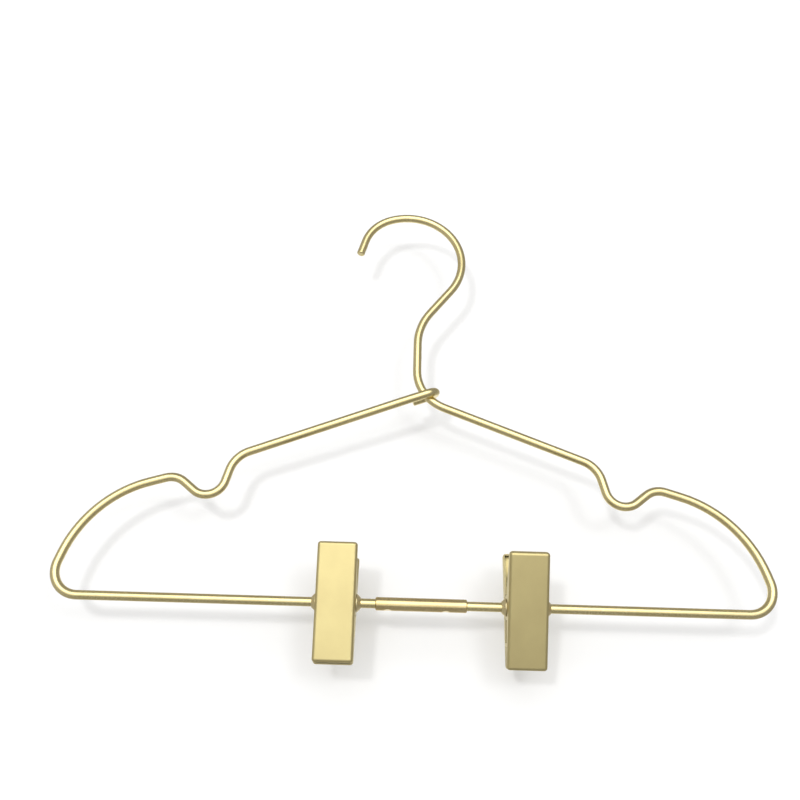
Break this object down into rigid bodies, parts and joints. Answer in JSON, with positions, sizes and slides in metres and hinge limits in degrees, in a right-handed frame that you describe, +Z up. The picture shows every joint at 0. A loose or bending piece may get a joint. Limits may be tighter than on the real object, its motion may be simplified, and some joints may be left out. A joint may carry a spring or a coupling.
{
  "type": "skirt hanger",
  "caption": "Bent wire clothes hanger with an open hook, notched shoulders and a straight lower bar that carries sprung pinch clips, which slide along it to grip a skirt or trousers.",
  "frame": {"origin": "the rail seat: the top of the hook's inside, where the hanger rests on a rail", "axes": "+X along the lower bar towards the side the hook's round is on, +Z up, and the clips' front faces look along -Y"},
  "size_m": [0.3902, 0.0396, 0.2866],
  "materials": {
    "gold_wire": "satin",
    "brass_sleeve": "satin",
    "gold_clip": "satin",
    "plated_rivet": "plated",
    "spring_steel": "bright",
    "grip_pad": "matte"
  },
  "bodies": {
    "frame": {"right_frame_wire": "gold_wire", "left_frame_wire": "gold_wire", "joining_sleeve": "brass_sleeve"},
    "left_carriage": {"left_rivet": "plated_rivet"},
    "left_front": {"left_front_jaw": "gold_clip", "left_front_pad": "grip_pad", "left_spring": "spring_steel"},
    "left_rear": {"left_rear_jaw": "gold_clip", "left_rear_pad": "grip_pad"},
    "right_carriage": {"right_rivet": "plated_rivet"},
    "right_front": {"right_front_jaw": "gold_clip", "right_front_pad": "grip_pad", "right_spring": "spring_steel"},
    "right_rear": {"right_rear_jaw": "gold_clip", "right_rear_pad": "grip_pad"}
  },
  "joints": [
    {"name": "left_clip_slide", "type": "slide", "parent": "frame", "child": "left_carriage", "axis": [1, 0, 0], "range_m": [-0.124, 0.007]},
    {"name": "left_clip_swing", "type": "hinge", "parent": "left_carriage", "child": "left_front", "pos_m": [-0.03275, 0, -0.2501], "axis": [1, 0, 0], "continuous": true},
    {"name": "left_jaw_open", "type": "hinge", "parent": "left_front", "child": "left_rear", "pos_m": [-0.03275, 0, -0.2501], "axis": [1, 0, 0], "range_deg": [0, 30], "stiffness_Nm_per_rad": 0.35, "deforming": ["left_spring"]},
    {"name": "right_clip_slide", "type": "slide", "parent": "frame", "child": "right_carriage", "axis": [1, 0, 0], "range_m": [-0.017, 0.105]},
    {"name": "right_clip_swing", "type": "hinge", "parent": "right_carriage", "child": "right_front", "pos_m": [0.0678, 0, -0.2501], "axis": [1, 0, 0], "continuous": true},
    {"name": "right_jaw_open", "type": "hinge", "parent": "right_front", "child": "right_rear", "pos_m": [0.0678, 0, -0.2501], "axis": [1, 0, 0], "range_deg": [0, 30], "stiffness_Nm_per_rad": 0.35, "deforming": ["right_spring"]}
  ]
}
